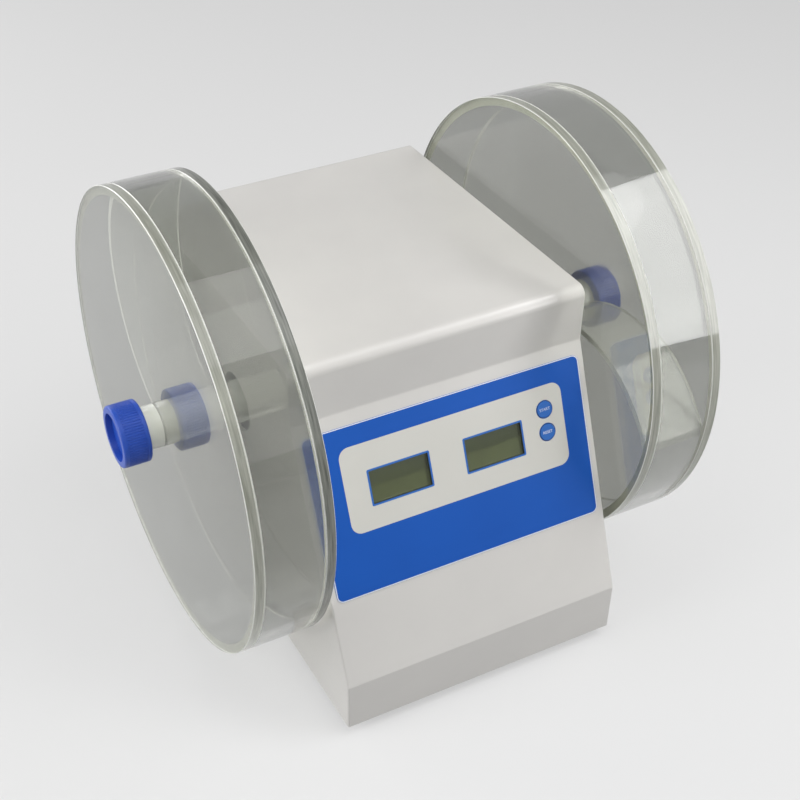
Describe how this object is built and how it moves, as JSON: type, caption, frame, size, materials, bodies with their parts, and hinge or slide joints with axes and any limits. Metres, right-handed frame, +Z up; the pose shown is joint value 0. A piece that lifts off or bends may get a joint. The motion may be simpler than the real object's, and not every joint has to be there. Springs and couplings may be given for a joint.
{
  "type": "tablet friability tester",
  "caption": "Bench tester that tumbles tablets in clear acrylic drums at the sides of a sloped-front cabinet, with clamping knobs, displays and buttons.",
  "frame": {"origin": "on the table, straight below the middle of the drum axis", "axes": "+X along the drum axis to the side of the buttons, -Y out of the sloped control panel, +Z up"},
  "size_m": [0.3694, 0.298, 0.319],
  "materials": {
    "cabinet_paint": "satin",
    "clear_acrylic": "gloss",
    "blue_knob": "satin",
    "label_film": "gloss",
    "window": "gloss",
    "display_cell": "satin",
    "button": "satin",
    "rubber": "matte",
    "steel": "satin",
    "aluminium": "satin",
    "brass": "satin",
    "nylon": "matte",
    "circuit_board": "satin",
    "black_plastic": "satin",
    "transformer_core": "matte",
    "fuse_glass": "gloss"
  },
  "bodies": {
    "housing": {"housing_wrap": "cabinet_paint", "left_side_panel": "cabinet_paint", "right_side_panel": "cabinet_paint", "rear_panel": "cabinet_paint", "base_plate": "cabinet_paint", "front_label": "label_film", "display_windows": "window", "left_display": "display_cell", "right_display": "display_cell", "rubber_feet": "rubber", "foot_screws": "steel", "cover_screws": "steel", "inner_screws": "steel", "block_screws": "steel", "inlet_screws": "steel", "bearing_outer_races": "steel", "gear_motor": "steel", "motor_bracket": "steel", "sensor_bracket": "steel", "bearing_blocks": "aluminium", "motor_gearbox": "aluminium", "capacitors": "aluminium", "board_posts": "aluminium", "inlet_pins": "brass", "control_board": "circuit_board", "power_board": "circuit_board", "control_chips": "black_plastic", "button_switches": "black_plastic", "counter_sensor": "black_plastic", "power_inlet": "black_plastic", "power_switch_frame": "black_plastic", "transformer": "transformer_core"},
    "drum_drive": {"main_shaft": "steel", "left_drive_socket": "aluminium", "right_drive_socket": "aluminium", "hub_cross_pins": "steel", "socket_grub_screws": "steel", "bearing_inner_races": "steel", "bearing_balls": "steel", "drive_gear": "nylon", "counter_disc": "steel", "left_drum_ring": "clear_acrylic", "left_drum_inner_plate": "clear_acrylic", "left_hub_tube": "clear_acrylic", "left_scoop": "clear_acrylic", "right_drum_ring": "clear_acrylic", "right_drum_inner_plate": "clear_acrylic", "right_hub_tube": "clear_acrylic", "right_scoop": "clear_acrylic"},
    "pinion": {"motor_pinion": "brass", "motor_shaft": "steel"},
    "left_lid": {"left_drum_lid": "clear_acrylic"},
    "right_lid": {"right_drum_lid": "clear_acrylic"},
    "left_clamp": {"left_knob": "blue_knob"},
    "right_clamp": {"right_knob": "blue_knob"},
    "start": {"start_button": "button"},
    "reset": {"reset_button": "button"},
    "rocker": {"power_rocker": "black_plastic"},
    "drawer": {"fuse_drawer": "black_plastic", "fuses": "fuse_glass"}
  },
  "joints": [
    {"name": "drum_spin", "type": "hinge", "parent": "housing", "child": "drum_drive", "pos_m": [0, 0, 0.17], "axis": [1, 0, 0], "continuous": true},
    {"name": "pinion_spin", "type": "hinge", "parent": "housing", "child": "pinion", "pos_m": [0, 0.0525, 0.17], "axis": [1, 0, 0], "continuous": true},
    {"name": "left_lid_pull", "type": "slide", "parent": "drum_drive", "child": "left_lid", "axis": [-1, 0, 0], "range_m": [0, 0.1]},
    {"name": "right_lid_pull", "type": "slide", "parent": "drum_drive", "child": "right_lid", "axis": [1, 0, 0], "range_m": [0, 0.1]},
    {"name": "left_knob_turn", "type": "hinge", "parent": "left_lid", "child": "left_clamp", "pos_m": [-0.1755, 0, 0.17], "axis": [-1, 0, 0], "range_deg": [0, 1080]},
    {"name": "right_knob_turn", "type": "hinge", "parent": "right_lid", "child": "right_clamp", "pos_m": [0.1755, 0, 0.17], "axis": [1, 0, 0], "range_deg": [0, 1080]},
    {"name": "start_press", "type": "slide", "parent": "housing", "child": "start", "axis": [0, 0.925, -0.3799], "range_m": [0, 0.0008], "stiffness_N_per_m": 1000, "springref_m": -0.0005},
    {"name": "reset_press", "type": "slide", "parent": "housing", "child": "reset", "axis": [0, 0.925, -0.3799], "range_m": [0, 0.0008], "stiffness_N_per_m": 1000, "springref_m": -0.0005},
    {"name": "power_rock", "type": "hinge", "parent": "housing", "child": "rocker", "pos_m": [-0.008, 0.1394, 0.042], "axis": [1, 0, 0], "range_deg": [0, 20]},
    {"name": "fuse_drawer_pull", "type": "slide", "parent": "housing", "child": "drawer", "axis": [0, 1, 0], "range_m": [0, 0.018]}
  ],
  "couplings": [
    {"joint": "pinion_spin", "follows": "drum_spin", "ratio": -3.2}
  ]
}
